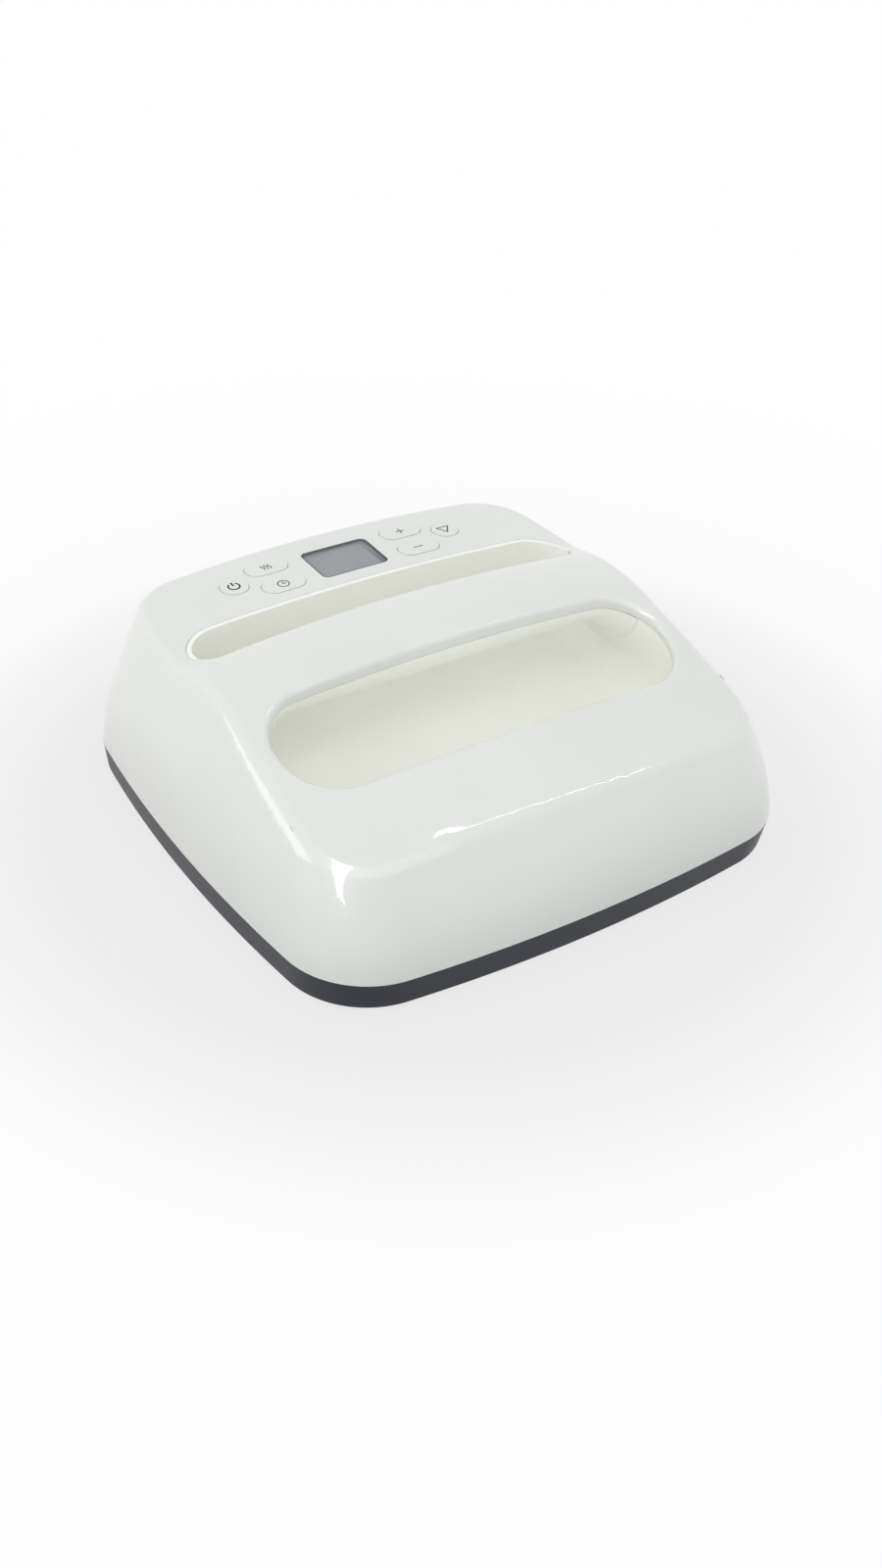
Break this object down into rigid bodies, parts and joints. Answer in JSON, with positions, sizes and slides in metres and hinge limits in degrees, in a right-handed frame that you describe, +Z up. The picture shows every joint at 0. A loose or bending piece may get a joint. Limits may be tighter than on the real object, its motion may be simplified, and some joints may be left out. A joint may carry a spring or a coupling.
{
  "type": "handheld heat press",
  "caption": "Square handheld heat press: flat heated plate, glossy moulded housing with a bridge handle over a finger well, display and push keys on the rear panel.",
  "frame": {"origin": "middle of the plate's working face, which is the bottom centre of the whole press", "axes": "+Z up, +X to the user's right, +Y to the back, where the keys and the cord entry are"},
  "size_m": [0.286, 0.2847, 0.1073],
  "materials": {
    "shell_white": "glossy",
    "well_cream": "satin",
    "skirt_grey": "satin",
    "key_white": "glossy",
    "plate_coating": "ceramic coated",
    "steel": "oxidised",
    "screw_steel": "zinc plated",
    "sheet_steel": "mill finish",
    "aluminium_can": "satin",
    "heatsink_alloy": "anodised",
    "silicone": "matte",
    "fibre": "felted",
    "ceramic": "glazed",
    "board_green": "solder mask",
    "nylon": "moulded",
    "relay_black": "moulded",
    "capacitor_yellow": "moulded",
    "terminal_green": "moulded",
    "fuse_glass": "clear",
    "switch_black": "moulded",
    "plunger_black": "moulded",
    "buzzer_black": "moulded",
    "window_clear": "clear",
    "bezel_black": "moulded",
    "display_grey": "liquid crystal",
    "gland_grey": "moulded",
    "lead_red": "silicone sleeve",
    "lead_white": "sleeve",
    "ribbon_grey": "flat cable"
  },
  "bodies": {
    "housing": {"top_shell": "shell_white", "finger_well": "well_cream", "grip_underside": "well_cream", "base_skirt": "skirt_grey", "heat_plate": "plate_coating", "heating_element": "steel", "plate_gasket": "silicone", "plate_screws": "screw_steel", "insulation_pad": "fibre", "heat_shield": "sheet_steel", "shield_screws": "screw_steel", "well_screws": "screw_steel", "case_screws": "screw_steel", "thermal_cutoff": "aluminium_can", "temperature_sensor": "ceramic", "power_board": "board_green", "board_standoffs": "nylon", "power_board_screws": "screw_steel", "power_relay": "relay_black", "mains_capacitor": "capacitor_yellow", "triac_heatsink": "heatsink_alloy", "terminal_block": "terminal_green", "mains_fuse": "fuse_glass", "switch_bodies": "switch_black", "control_board": "board_green", "control_board_screws": "screw_steel", "buzzer": "buzzer_black", "display_window": "window_clear", "display_bezel": "bezel_black", "display_module": "display_grey", "cord_gland": "gland_grey", "gland_nut": "gland_grey", "heater_leads": "lead_red", "sensor_leads": "lead_white", "display_ribbon": "ribbon_grey"},
    "power_button": {"power_key": "key_white", "power_plunger": "plunger_black"},
    "temperature_button": {"temperature_key": "key_white", "temperature_plunger": "plunger_black"},
    "timer_button": {"timer_key": "key_white", "timer_plunger": "plunger_black"},
    "plus_button": {"plus_key": "key_white", "plus_plunger": "plunger_black"},
    "minus_button": {"minus_key": "key_white", "minus_plunger": "plunger_black"},
    "start_button": {"start_key": "key_white", "start_plunger": "plunger_black"}
  },
  "joints": [
    {"name": "power_press", "type": "slide", "parent": "housing", "child": "power_button", "axis": [0, 0.0384, -0.9993], "range_m": [0, 0.0005], "stiffness_N_per_m": 600, "springref_m": -0.0005},
    {"name": "temperature_press", "type": "slide", "parent": "housing", "child": "temperature_button", "axis": [0, 0.0384, -0.9993], "range_m": [0, 0.0005], "stiffness_N_per_m": 600, "springref_m": -0.0005},
    {"name": "timer_press", "type": "slide", "parent": "housing", "child": "timer_button", "axis": [0, 0.0384, -0.9993], "range_m": [0, 0.0005], "stiffness_N_per_m": 600, "springref_m": -0.0005},
    {"name": "plus_press", "type": "slide", "parent": "housing", "child": "plus_button", "axis": [0, 0.0384, -0.9993], "range_m": [0, 0.0005], "stiffness_N_per_m": 600, "springref_m": -0.0005},
    {"name": "minus_press", "type": "slide", "parent": "housing", "child": "minus_button", "axis": [0, 0.0384, -0.9993], "range_m": [0, 0.0005], "stiffness_N_per_m": 600, "springref_m": -0.0005},
    {"name": "start_press", "type": "slide", "parent": "housing", "child": "start_button", "axis": [0, 0.0384, -0.9993], "range_m": [0, 0.0005], "stiffness_N_per_m": 600, "springref_m": -0.0005}
  ]
}
